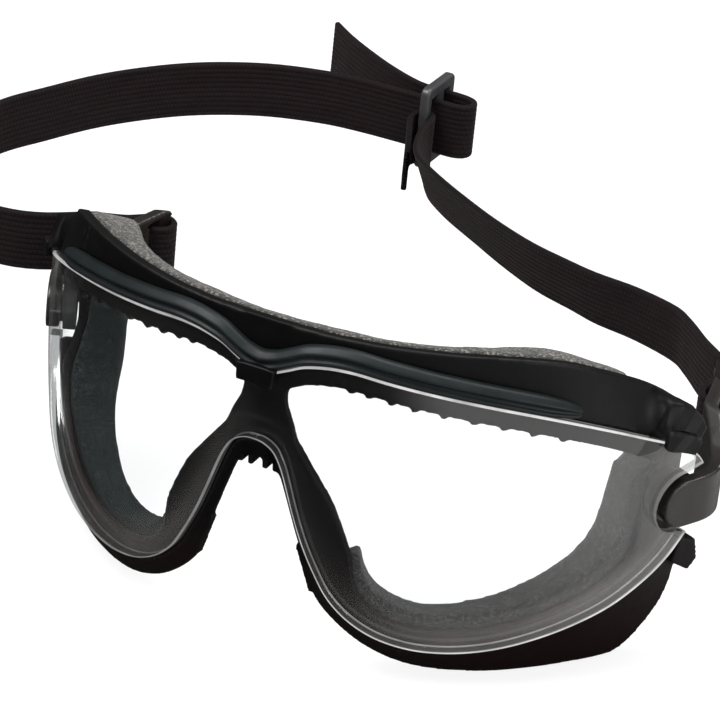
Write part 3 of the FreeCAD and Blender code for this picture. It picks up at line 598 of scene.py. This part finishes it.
def notch_cutter(side):
    """Cutter for the open notch at the temple edge, round the pivot."""
    section = [(NOTCH_MOUTH, NOTCH_MOUTH_HALF)]
    section += [(NOTCH_RADIUS * math.cos(a), NOTCH_RADIUS * math.sin(a))
                for a in np.linspace(.5 * math.pi, 1.5 * math.pi, 41)]
    section += [(NOTCH_MOUTH, -NOTCH_MOUTH_HALF)]
    n = len(section)
    verts = []
    for inward in (-6.0, 10.0):
        for back, up in section:
            x, y = temple_point(PIVOT_BACK + back, inward)
            verts.append((x * side, y, PIVOT_Z + up))
    faces = [(k, (k + 1) % n, n + (k + 1) % n, n + k) for k in range(n)]
    faces += [tuple(range(n))[::-1], tuple(range(n, 2 * n))]
    uvs = [(-2.8, 0)] * n + [(4.5, 0)] * n         # x carries the rim's depth coordinate through
    ob = new_mesh("notch_cutter", verts, faces, (MATS["lens"], MATS["rim"]), [1] * len(faces),
                  smooth=False, uvs=uvs)
    face_outwards(ob)
    return ob


def lens_blank():
    """Outer and inner sheets filled in from the outline, joined by the rim."""
    columns, rows = ((120, 56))         # columns per half
    across = np.linspace(0, 1, columns + 1)
    up = np.linspace(0, 1, rows + 1)
    top_t = TOP_MID + (TEMPLE_TOP - TOP_MID) * across
    bottom_t = NOSE_MID - (NOSE_MID - TEMPLE_LOW) * across
    end_t = TEMPLE_LOW - (TEMPLE_LOW - TEMPLE_TOP) * up
    top, bottom, end = (outline(t, -LENS_INSET) for t in (top_t, bottom_t, end_t))
    middle = np.stack([np.zeros(rows + 1), bottom[0, 1] + (top[0, 1] - bottom[0, 1]) * up], -1)
    U, V = across[:, None, None], up[None, :, None]
    half = (1 - V) * bottom[:, None] + V * top[:, None] + (1 - U) * middle[None] + U * end[None]
    half -= ((1 - U) * (1 - V) * bottom[0] + (1 - U) * V * top[0] + U * (1 - V) * end[0]
             + U * V * end[-1])
    sheet = np.concatenate([(half * np.array([-1, 1]))[:0:-1], half])     # -x half first
    n, m = sheet.shape[:2]
    count = n * m

    # border of the sheet, in order, with each vertex's outline station and side
    border = [(i, 0) for i in range(n)] + [(n - 1, j) for j in range(1, m)]
    border += [(i, m - 1) for i in range(n - 2, -1, -1)] + [(0, j) for j in range(m - 2, 0, -1)]
    station = np.array([bottom_t[abs(i - columns)] if j == 0
                        else top_t[abs(i - columns)] if j == m - 1
                        else end_t[j] for i, j in border])
    side = np.array([1 if i >= columns else -1 for i, _ in border])
    size = len(border)

    verts = [lens_point(sheet[..., 0], sheet[..., 1], depth).reshape(-1, 3)
             for depth in (0.0, LENS_THICKNESS)]
    verts += [outline_point(station, outward, depth, side) for outward, depth in RIM_RINGS]
    faces = grid_faces(n, m)
    faces += [tuple(i + count for i in f) for f in grid_faces(n, m, flip=True)]
    face_mat = [0] * len(faces)
    outer_edge = np.array([i * m + j for i, j in border])
    rings = [np.arange(size) + 2 * count + k * size for k in range(len(RIM_RINGS))]
    rings = [outer_edge] + rings + [outer_edge + count]
    for ring, following in zip(rings, rings[1:]):
        for k in range(size):
            k2 = (k + 1) % size
            faces.append((ring[k], following[k], following[k2], ring[k2]))
            face_mat.append(1)

    # UV x: place through the thickness; UV y: nearness to the lower edge and the ends
    from_low = np.linalg.norm(sheet - sheet[:, :1], axis=2)
    from_end = np.minimum(np.linalg.norm(sheet - sheet[:1], axis=2),
                          np.linalg.norm(sheet - sheet[-1:], axis=2))
    near = np.maximum(np.clip(1.15 - from_low / 9.0, 0, 1),
                      np.clip(1.1 - from_end / 15.0, 0, 1)).reshape(-1)
    through = [np.zeros(count), np.ones(count)]
    through += [np.full(size, (k + 1) / (len(RIM_RINGS) + 1)) for k in range(len(RIM_RINGS))]
    uvs = np.stack([np.concatenate(through),
                    np.r_[near, near, np.ones(size * len(RIM_RINGS))]], -1)
    ob = new_mesh("lens_shell", np.concatenate(verts), faces, (MATS["lens"], MATS["rim"]),
                  face_mat, uvs=uvs)
    face_outwards(ob)
    return ob


def cut_notch(lens, side):
    cutter = notch_cutter(side)
    cut = lens.modifiers.new("notch", "BOOLEAN")
    cut.operation = "DIFFERENCE"
    cut.solver = "EXACT"
    cut.object = cutter
    notched = evaluated_mesh(lens)
    lens.modifiers.clear()
    blank = lens.data
    lens.data = notched
    bpy.data.meshes.remove(blank)
    bpy.data.objects.remove(cutter)


def build_lens():
    lens = lens_blank()
    for side in (1, -1):
        cut_notch(lens, side)
    me = lens.data
    me.name = "lens_shell"
    me.polygons.foreach_set("use_smooth", np.ones(len(me.polygons), bool))
    me.set_sharp_from_angle(angle=math.radians(40))
    bm = bmesh.new()
    bm.from_mesh(me)
    for e in bm.edges:                             # the faces meet the rim in a hard edge
        if len(e.link_faces) == 2:
            first, second = e.link_faces
            if first.material_index != second.material_index:
                e.smooth = False
    bm.to_mesh(me)
    bm.free()
    fit(lens, "root", "lens")


build_lens()

# ------------------------------------------------------------------ brow trim
TRIM_END = 13.1                                    # outline station where each end stops
TRIM_TAPER = 1.3                                   # length of the rounded end, in stations
TRIM_CORE_OUT, TRIM_CORE_DEPTH = 2.5, .72          # the section shrinks towards this point
# Section: outwards of the outline, depth behind the lens's outer face.
TRIM_SECTION = [
    (.62, .72), (.62, .2), (.62, -.65), (.75, -1.15), (1.15, -1.45), (1.5, -1.42),
    (1.75, -1.12), (2.05, -.98), (2.4, -1.05), (2.7, -1.38), (2.95, -1.5), (3.25, -1.42),
    (3.8, -.95), (4.2, -.5), (4.38, .1), (4.4, .72)]


def build_trim():
    rows = 700
    spread = np.linspace(-TRIM_END, TRIM_END, rows)
    spans = len(TRIM_SECTION) - 1
    section = catmull_rom(TRIM_SECTION, np.linspace(0, spans, spans * 3 + 1))
    dist = np.abs(spread)
    station = TOP_MID + dist * (TRIM_END - TOP_MID) / TRIM_END
    full = np.minimum(1.0, (TRIM_END - dist) / TRIM_TAPER)
    full = np.sqrt(np.maximum(0.0, 1 - (1 - full) ** 2))
    side = np.where(spread < 0, -1, 1)
    points = [outline_point(station,
                            TRIM_CORE_OUT + (out - TRIM_CORE_OUT) * (.25 + .75 * full),
                            TRIM_CORE_DEPTH + (depth - TRIM_CORE_DEPTH) * (.2 + .8 * full),
                            side) for out, depth in section]
    verts = np.stack(points, 1).reshape(-1, 3)
    ob = new_mesh("brow_trim_moulding", verts, capped_faces(rows, len(section)),
                  (MATS["trim"],))
    face_outwards(ob)
    fit(ob, "root", "brow_trim")


build_trim()


# ------------------------------------------------------------------ face frame
def soften(ob, centre, radius, times):
    """Relaxes the surface inside a ball round the centre, fading out towards its border."""
    points = get_vertices(ob.data)
    edges = np.empty(len(ob.data.edges) * 2, int)
    ob.data.edges.foreach_get("vertices", edges)
    edges = edges.reshape(-1, 2)
    dist = np.linalg.norm(points - np.array(centre) * MM, axis=1)
    weight = np.clip(1.25 - dist / (radius * MM), 0, 1) ** .7
    edges = edges[(weight[edges[:, 0]] > 0) | (weight[edges[:, 1]] > 0)]
    degree = np.bincount(edges.reshape(-1), minlength=len(points))
    moved = (weight > 0) & (degree > 0)
    for _ in range(times):
        total = np.zeros_like(points)
        np.add.at(total, edges[:, 0], points[edges[:, 1]])
        np.add.at(total, edges[:, 1], points[edges[:, 0]])
        mean = total[moved] / degree[moved, None]
        points[moved] += (mean - points[moved]) * (weight[moved, None] * .6)
    set_vertices(ob.data, points)


# Corner hooks, in plan on the +x side: an origin, and the unit direction (outwards, back).
# The facets face outwards and forwards, square to that direction.
HOOK_X, HOOK_Y = 63.7, 37.8
HOOK_OUT, HOOK_BACK = .72, .69
# Lift across the hook: place from the crease (0) to the ridge (1) and beyond, lift in mm.
HOOK_LIFT = [(-.02, 0.0), (.06, .45), (1.0, 1.15), (1.9, .2), (2.6, 0.0)]


def hook_facets(ob):
    """A slanting crease, a facet rising from it to a ridge, and a facet falling behind."""
    points = get_vertices(ob.data) / MM
    normals = get_vertices(ob.data, "normal")
    for side in (1, -1):
        x, y, z = points[:, 0] * side, points[:, 1], points[:, 2]
        along = (x - HOOK_X) * HOOK_OUT + (y - HOOK_Y) * HOOK_BACK
        facing = normals[:, 0] * side * HOOK_BACK - normals[:, 1] * HOOK_OUT
        crease = (z - 9.2) * .577
        ridge = 3.98 + (z - 7.2) * .872
        place = (along - crease) / np.maximum(ridge - crease, 1.0)
        lift = np.interp(place, *zip(*HOOK_LIFT))
        # only the outer skin, faded out above and below, clear of the rest of the frame
        mask = (np.clip((facing - .1) / .4, 0, 1) * np.clip((16.2 - z) / 1.6, 0, 1)
                * np.clip((z - 4.0) / .8, 0, 1) * (y < 52) * (x > 58))
        points[:, 0] += side * HOOK_BACK * lift * mask
        points[:, 1] -= HOOK_OUT * lift * mask
    set_vertices(ob.data, points * MM)


def build_face_frame():
    face = soft_copy("face_frame", "face_frame_moulding", voxel=.36,
                     smoothing=5, material="frame")
    for side in (1, -1):
        soften(face, (62.9 * side, 38.2, 13.2), radius=4.0, times=150)
        soften(face, (64.6 * side, 39.8, 14.0), radius=3.2, times=90)
    hook_facets(face)
    fit(face, "root", "face_frame")


build_face_frame()


# ------------------------------------------------------------------ other mouldings
def build_bridge_clip():
    clip = soft_copy("bridge_clip", "bridge_clip_moulding", voxel=.16, smoothing=4,
                     material="frame")
    top = max(v.co.z for v in clip.data.vertices)
    for v in clip.data.vertices:                   # sits up against the trim's dip; metres
        v.co.z = top + (v.co.z - top) * .86 + .0013
        v.co.y -= .0005
    fit(clip, "root", "bridge_clip")


def build_arm(side):
    arm = soft_copy("strap_arm_" + side, "strap_arm_moulding_" + side,
                    voxel=.3, smoothing=9, material="arm")
    fit(arm, "arm_" + side, "strap_arm_" + side)
    for part in ("pivot_housing_", "pivot_pin_", "pivot_retainer_"):
        give(NODES[part + side], "pivot")


build_bridge_clip()
build_arm("left")
build_arm("right")
slider = soft_copy("strap_buckle", "strap_slider_moulding", voxel=.22, smoothing=5,
                   material="slider")
fit(slider, "slider", "strap_buckle")

# ------------------------------------------------------------------ foam seals
FOAM_SWELL = .12
# Surface unevenness: noise frequency per metre, height in mm.
FOAM_WAVES = [(95, .28), (420, .07), (1500, .05)]


def build_foam(node, name, material, seed):
    ob = soft_copy(node, name, voxel=.62, smoothing=7, material=material)
    me = ob.data
    swell = get_vertices(me, "normal") * FOAM_SWELL * MM
    set_vertices(me, get_vertices(me) + swell)
    offset = Vector((seed * 7.3, seed * 3.1, seed))
    normals = [v.normal.copy() for v in me.vertices]
    for v, normal in zip(me.vertices, normals):
        place = v.co.copy()
        height = sum(noise.noise(place * freq + offset) * size for freq, size in FOAM_WAVES)
        v.co = place + normal * (height * MM)
    me.update()
    fit(ob, "root", node)


build_foam("brow_foam", "brow_foam_pad", "brow_foam", seed=1)
build_foam("cheek_foam_left", "cheek_foam_pad_left", "cheek_left", seed=2)
build_foam("cheek_foam_right", "cheek_foam_pad_right", "cheek_right_painted_shade", seed=3)

# ------------------------------------------------------------------ webbing
WEB_WIDTH, WEB_THICKNESS = 13.0, 1.3
SELVEDGE = .30                                     # width of each rounded edge
STEPS_PER_RIB = 5
WEB_STEP = .8               # spacing of the sections


def webbing_section():
    """Closed section (across, through): ribbed top, edge, ribbed bottom, edge."""
    u = np.linspace(-1, 1, RIBS * STEPS_PER_RIB + 1)
    half, half_thick = WEB_WIDTH / 2 - SELVEDGE, WEB_THICKNESS / 2
    rib = .045 + .055 * np.abs(np.sin((u + 1) / 2 * np.pi * RIBS))
    top = np.stack([u * half, half_thick - .1 + rib], -1)
    edge = np.array([(half + SELVEDGE * .75, half_thick * .62),
                     (half + SELVEDGE, half_thick * .2),
                     (half + SELVEDGE, -half_thick * .2),
                     (half + SELVEDGE * .75, -half_thick * .62)])
    bottom = top[::-1] * np.array([1, -1])
    return np.concatenate([top, edge, bottom, edge[::-1] * np.array([-1, 1])]), len(edge)


def smooth_path(rows, step):
    """Curve through the rows at even spacing; returns its points and their lengths along."""
    rows = np.asarray(rows, float)
    spans = len(rows) - 1
    dense = catmull_rom(rows, np.linspace(0, spans, spans * 24 + 1))
    length = np.r_[0, np.cumsum(np.linalg.norm(np.diff(dense[:, :3], axis=0), axis=1))]
    along = np.linspace(0, length[-1], max(4, int(round(length[-1] / step))) + 1)
    path = np.stack([np.interp(along, length, dense[:, c]) for c in range(dense.shape[1])], -1)
    return path, along


def webbing(name, stations, cut):
    """Ribbed ribbon through (x, y, z, lean in degrees), as two pieces parted nearest (x, y)."""
    path, along = smooth_path(stations, WEB_STEP)
    tangent = np.gradient(path[:, :3], axis=0)
    tangent /= np.linalg.norm(tangent, axis=1)[:, None]
    level = np.stack([-tangent[:, 1], tangent[:, 0], np.zeros(len(tangent))], -1)
    level /= np.linalg.norm(level, axis=1)[:, None]
    upright = np.cross(tangent, level)
    upright *= np.sign(upright[:, 2:3] + 1e-9)
    lean = np.radians(path[:, 3])[:, None]
    width = upright * np.cos(lean) + level * np.sin(lean)
    through = np.cross(width, tangent)
    section, edge_count = webbing_section()
    m, n = len(section), len(path)
    wobble = .05 * np.sin(along * 5.1) + .03 * np.sin(along * 2.3 + 1)     # of the width
    verts = (path[:, None, :3]
             + section[None, :, 0:1] * (1 + wobble[:, None, None] * .02) * width[:, None]
             + section[None, :, 1:2] * through[:, None])
    normals = np.cross(np.gradient(verts, axis=0), np.roll(verts, -1, 1) - np.roll(verts, 1, 1))
    normals /= np.linalg.norm(normals, axis=2)[..., None] + 1e-12
    if ((verts - verts.mean(1, keepdims=True)) * normals).sum() < 0:
        normals = -normals
    uvs = np.stack([np.broadcast_to(section[None, :, 0] / WEB_WIDTH + .5, (n, m)),
                    np.broadcast_to(along[:, None] / WEB_WIDTH, (n, m))], -1)
    parting = int(np.argmin(np.linalg.norm(path[:, :2] - np.array(cut)[None], axis=1)))
    strips = RIBS * STEPS_PER_RIB
    pieces = []
    for number, (a, b) in enumerate(((0, parting), (parting, n - 1)), 1):
        faces = grid_faces(b - a + 1, m, close=True)
        for row, flip in ((0, False), (b - a, True)):        # end caps, in strips
            start = row * m
            below = start + (strips + 1) + edge_count
            for j in range(strips):
                quad = (start + j, start + j + 1, below + (strips - j - 1), below + (strips - j))
                faces.append(quad if flip else quad[::-1])
        ob = new_mesh("%s_%d" % (name, number), verts[a:b + 1].reshape(-1, 3), faces,
                      (MATS["webbing"],), normals=normals[a:b + 1].reshape(-1, 3),
                      uvs=uvs[a:b + 1].reshape(-1, 2))
        pieces.append(ob)
    return pieces


STRAP_Z = -5.6
BAR = temple_point(28.55, 20.0)                    # rear bar of the arm's ring, +x side
# Webbing round the bar: distance from the bar along the strap, and across it.
LOOP = [(14.0, -.70), (11.5, -.70), (9.0, -.71), (6.6, -.95), (4.6, -1.65), (2.6, -2.55),
        (.4, -3.18), (-1.8, -2.7), (-2.95, -1.2), (-3.2, 0.0), (-2.95, 1.2), (-1.8, 2.7),
        (.4, 3.18), (2.6, 2.55), (4.6, 1.65), (6.6, .95), (9.0, .71), (11.5, .70), (14.0, .66)]

# Strap from the loop's end to the slider: x, y, z, lean in degrees.
LEFT_PATH = [
    (55.6, 92.6, -5.7, 1), (51.5, 96.9, -6.0, 3), (46.0, 102.9, -6.0, 5),
    (41.0, 107.2, -6.1, 7), (31.0, 111.2, -6.4, 10), (21.0, 113.4, -6.7, 13),
    (14.0, 115.8, -6.8, 16), (4.0, 119.8, -7.1, 18), (-7.0, 126.3, -7.5, 21),
    (-18.0, 134.3, -8.1, 23), (-27.0, 141.6, -8.9, 23), (-33.4, 148.0, -9.9, 23),
    (-38.3, 153.8, -10.5, 21), (-41.6, 160.0, -10.3, 13), (-43.0, 164.4, -9.8, 5),
    (-43.4, 167.3, -9.4, 0), (-44.3, 169.2, -9.3, 0), (-46.2, 169.5, -9.3, 0),
    (-47.7, 168.2, -9.6, 0), (-47.9, 166.2, -10.0, 0), (-46.9, 163.4, -10.9, 0),
    (-45.6, 160.5, -12.0, 0), (-44.5, 158.0, -13.2, 0)]
# The same for the other side, with its fold and tail: x, y, z, no lean.
RIGHT_PATH = [
    (-84, 65.0, -5.8), (-92, 62.6, -6), (-103, 63, -6.2), (-113, 69, -6.3),
    (-119.5, 80, -6.4), (-122.0, 94, -6.5), (-121, 109.5, -6.5), (-116.5, 122, -6.5),
    (-111.5, 134, -6.5), (-105.8, 143.7, -6.5), (-98.8, 152.7, -6.5), (-91, 159.7, -6.5),
    (-82, 165.3, -6.5), (-71, 169.2, -6.5), (-62, 170.5, -6.5), (-52, 170.9, -6.5),
    (-46, 171.0, -6.5), (-42, 170.8, -6.5), (-39.2, 170.9, -6.5), (-37.2, 171.8, -6.5),
    (-36.4, 173.7, -6.5), (-37.2, 175.6, -6.5), (-39.4, 176.6, -6.5), (-42.4, 176.9, -6.5),
    (-46, 176.8, -6.5), (-52, 177.4, -6.5), (-60, 180.6, -6.3), (-68, 185.2, -6.2),
    (-75.5, 190.2, -6.1), (-82, 195.4, -6)]


def loop_axes(lead, turn):
    """Unit vectors along the strap as it leaves the bar, and across it."""
    along = np.array(lead, float)
    along /= np.linalg.norm(along)
    return along, np.array([-along[1], along[0]]) * turn


def build_strap(side, sign, axes, path, cut, rear_node):
    """Both pieces of one strap."""
    along, across = axes
    loop = [BAR + along * a + across * b for a, b in LOOP]
    stations = [(sign * x, y, STRAP_Z, 0.0) for x, y in loop] + path
    front, rear = webbing("strap_%s_webbing" % side, stations, cut)
    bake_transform(front)
    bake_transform(rear)
    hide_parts("strap_end_" + side, "strap_" + side)
    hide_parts(rear_node)


LEFT_AXES = loop_axes(lead=(-.30, .95), turn=-1)
RIGHT_AXES = loop_axes(lead=(.72, -.30), turn=1)   # mirrored to -x when used
build_strap("left", 1, LEFT_AXES, LEFT_PATH, cut=(-7, 126.3),
            rear_node="strap_end_buckle")
build_strap("right", -1, RIGHT_AXES, [(*p, 0) for p in RIGHT_PATH], cut=(-121, 109.5),
            rear_node="strap_fold_and_tail")

# ------------------------------------------------------------------ bar tacks
# Zigzag rows on both faces of a sewn loop: distance from the bar, height off the mid-plane.
TACK_ROWS = [(5.8, 1.75), (7.4, 1.5), (12.0, 1.42)]
TACK_HALF_LENGTH = 5.2
ZIGZAG_WIDTH, ZIGZAGS_PER_MM = .48, 1.55
THREAD_RADIUS = .17


def build_tacks(side, sign, axes):
    along, across = axes
    z = np.linspace(-TACK_HALF_LENGTH, TACK_HALF_LENGTH, 61)
    zigzag = ZIGZAG_WIDTH * (2 * np.abs(((z * ZIGZAGS_PER_MM) % 1) - .5) - .5)
    ripple = .04 * np.sin(z * 9)
    parts = []
    for distance, height in TACK_ROWS:
        for face in (1, -1):
            base = BAR + along * distance + across * face * height
            path = np.stack([base[0] + along[0] * zigzag, base[1] + along[1] * zigzag,
                             STRAP_Z + z], -1)
            path[:, :2] += (across * face)[None] * ripple[:, None]
            path[:, 0] *= sign
            parts.append(tube(path, THREAD_RADIUS))
    ob = new_mesh("bar_tacks_" + side, *joined(parts), (MATS["thread"],))
    face_outwards(ob)
    fit(ob, "arm_" + side, "strap_stitching_" + side)


build_tacks("left", 1, LEFT_AXES)
build_tacks("right", -1, RIGHT_AXES)


# ------------------------------------------------------------------ stage (metres)
def floor_material():
    """Pale floor: nearly even white to the camera; reflections see it bright only at +x."""
    m = new_material("pale_floor")
    rays = m.node("LightPath").outputs
    matt = m.out("BsdfDiffuse", Color=(.93, .93, .93))
    white = m.out("Emission", Color=(1, 1, 1), Strength=1.02)
    seen = m.math("MAXIMUM", m.mul(rays["Is Camera Ray"], .82),
                  m.mul(rays["Is Transmission Ray"], .82))
    surface = m.mix_shaders(seen, matt, white)
    x = m.axes(m.node("NewGeometry").outputs["Position"])[0]
    brightness = m.smooth_range(x, From_Min=.055, From_Max=.125, To_Min=.05, To_Max=.85)
    reflected = m.out("Emission", Color=(1, 1, 1), Strength=brightness)
    return m.end(m.mix_shaders(rays["Is Glossy Ray"], surface, reflected))


def build_floor(half=6):
    mat = floor_material()
    z = CAD_BOX[0][2] - .0003
    me = bpy.data.meshes.new("floor")
    me.from_pydata([(-half, -half, z), (half, -half, z), (half, half, z), (-half, half, z)],
                   [], [(0, 1, 2, 3)])
    me.materials.append(mat)
    ob = bpy.data.objects.new("floor", me)
    scene.collection.objects.link(ob)


def build_world():
    """Even white light, seen much dimmer in reflections."""
    scene.world = bpy.data.worlds.new("studio")
    w = Shader(scene.world, "OutputWorld")
    bright = w.out("Background", Color=(1, 1, 1), Strength=.75)
    dim = w.out("Background", Color=(1, 1, 1), Strength=.10)
    w.end(w.mix_shaders(w.node("LightPath").outputs["Is Glossy Ray"], bright, dim))


def area_light(name, location, target, size, power):
    light = bpy.data.lights.new(name, "AREA")
    light.shape = "RECTANGLE"
    light.size = light.size_y = size
    light.energy = power
    ob = bpy.data.objects.new(name, light)
    ob.location = location
    aim = Vector(target) - Vector(location)
    ob.rotation_euler = aim.to_track_quat("-Z", "Y").to_euler()
    scene.collection.objects.link(ob)


build_floor()
build_world()
area_light("key", (-.35, -.25, .75), target=(0, .06, 0), size=.5, power=9)
area_light("top", (.15, .35, .8), target=(0, .07, 0), size=.6, power=7)
area_light("right", (.8, -.1, .25), target=(0, .05, 0), size=.4, power=3)

# ------------------------------------------------------------------ camera
AZIMUTH, ELEVATION, ROLL = (math.radians(a) for a in (24.657, 27.99, 5.521))
CAMERA_TARGET, CAMERA_DISTANCE = [0, 30, 0], 741.194
AIM_RIGHT, AIM_UP = .00897, .00927                 # slopes of the view off the target


def build_camera():
    outward = np.array([math.sin(AZIMUTH) * math.cos(ELEVATION),
                        -math.cos(AZIMUTH) * math.cos(ELEVATION), math.sin(ELEVATION)])
    level = np.array([math.cos(AZIMUTH), math.sin(AZIMUTH), 0])
    upright = np.cross(outward, level)
    rolled_right = level * math.cos(ROLL) + upright * math.sin(ROLL)
    rolled_up = -level * math.sin(ROLL) + upright * math.cos(ROLL)
    position = (np.array(CAMERA_TARGET) + outward * CAMERA_DISTANCE) * MM
    forward = -outward + AIM_RIGHT * rolled_right + AIM_UP * rolled_up
    forward /= np.linalg.norm(forward)
    right = np.cross(forward, rolled_up)
    right /= np.linalg.norm(right)
    up = np.cross(right, forward)
    camera = bpy.data.cameras.new("camera")
    camera.sensor_width = 36
    camera.lens = 194.2
    camera.clip_start = .01
    camera.clip_end = 30
    ob = bpy.data.objects.new("camera", camera)
    matrix = Matrix.Identity(4)
    for i in range(3):
        matrix[i][:] = right[i], up[i], -forward[i], position[i]
    ob.matrix_world = matrix
    scene.collection.objects.link(ob)
    scene.camera = ob


build_camera()
scene.view_settings.view_transform = "Standard"
scene.view_settings.look = "None"
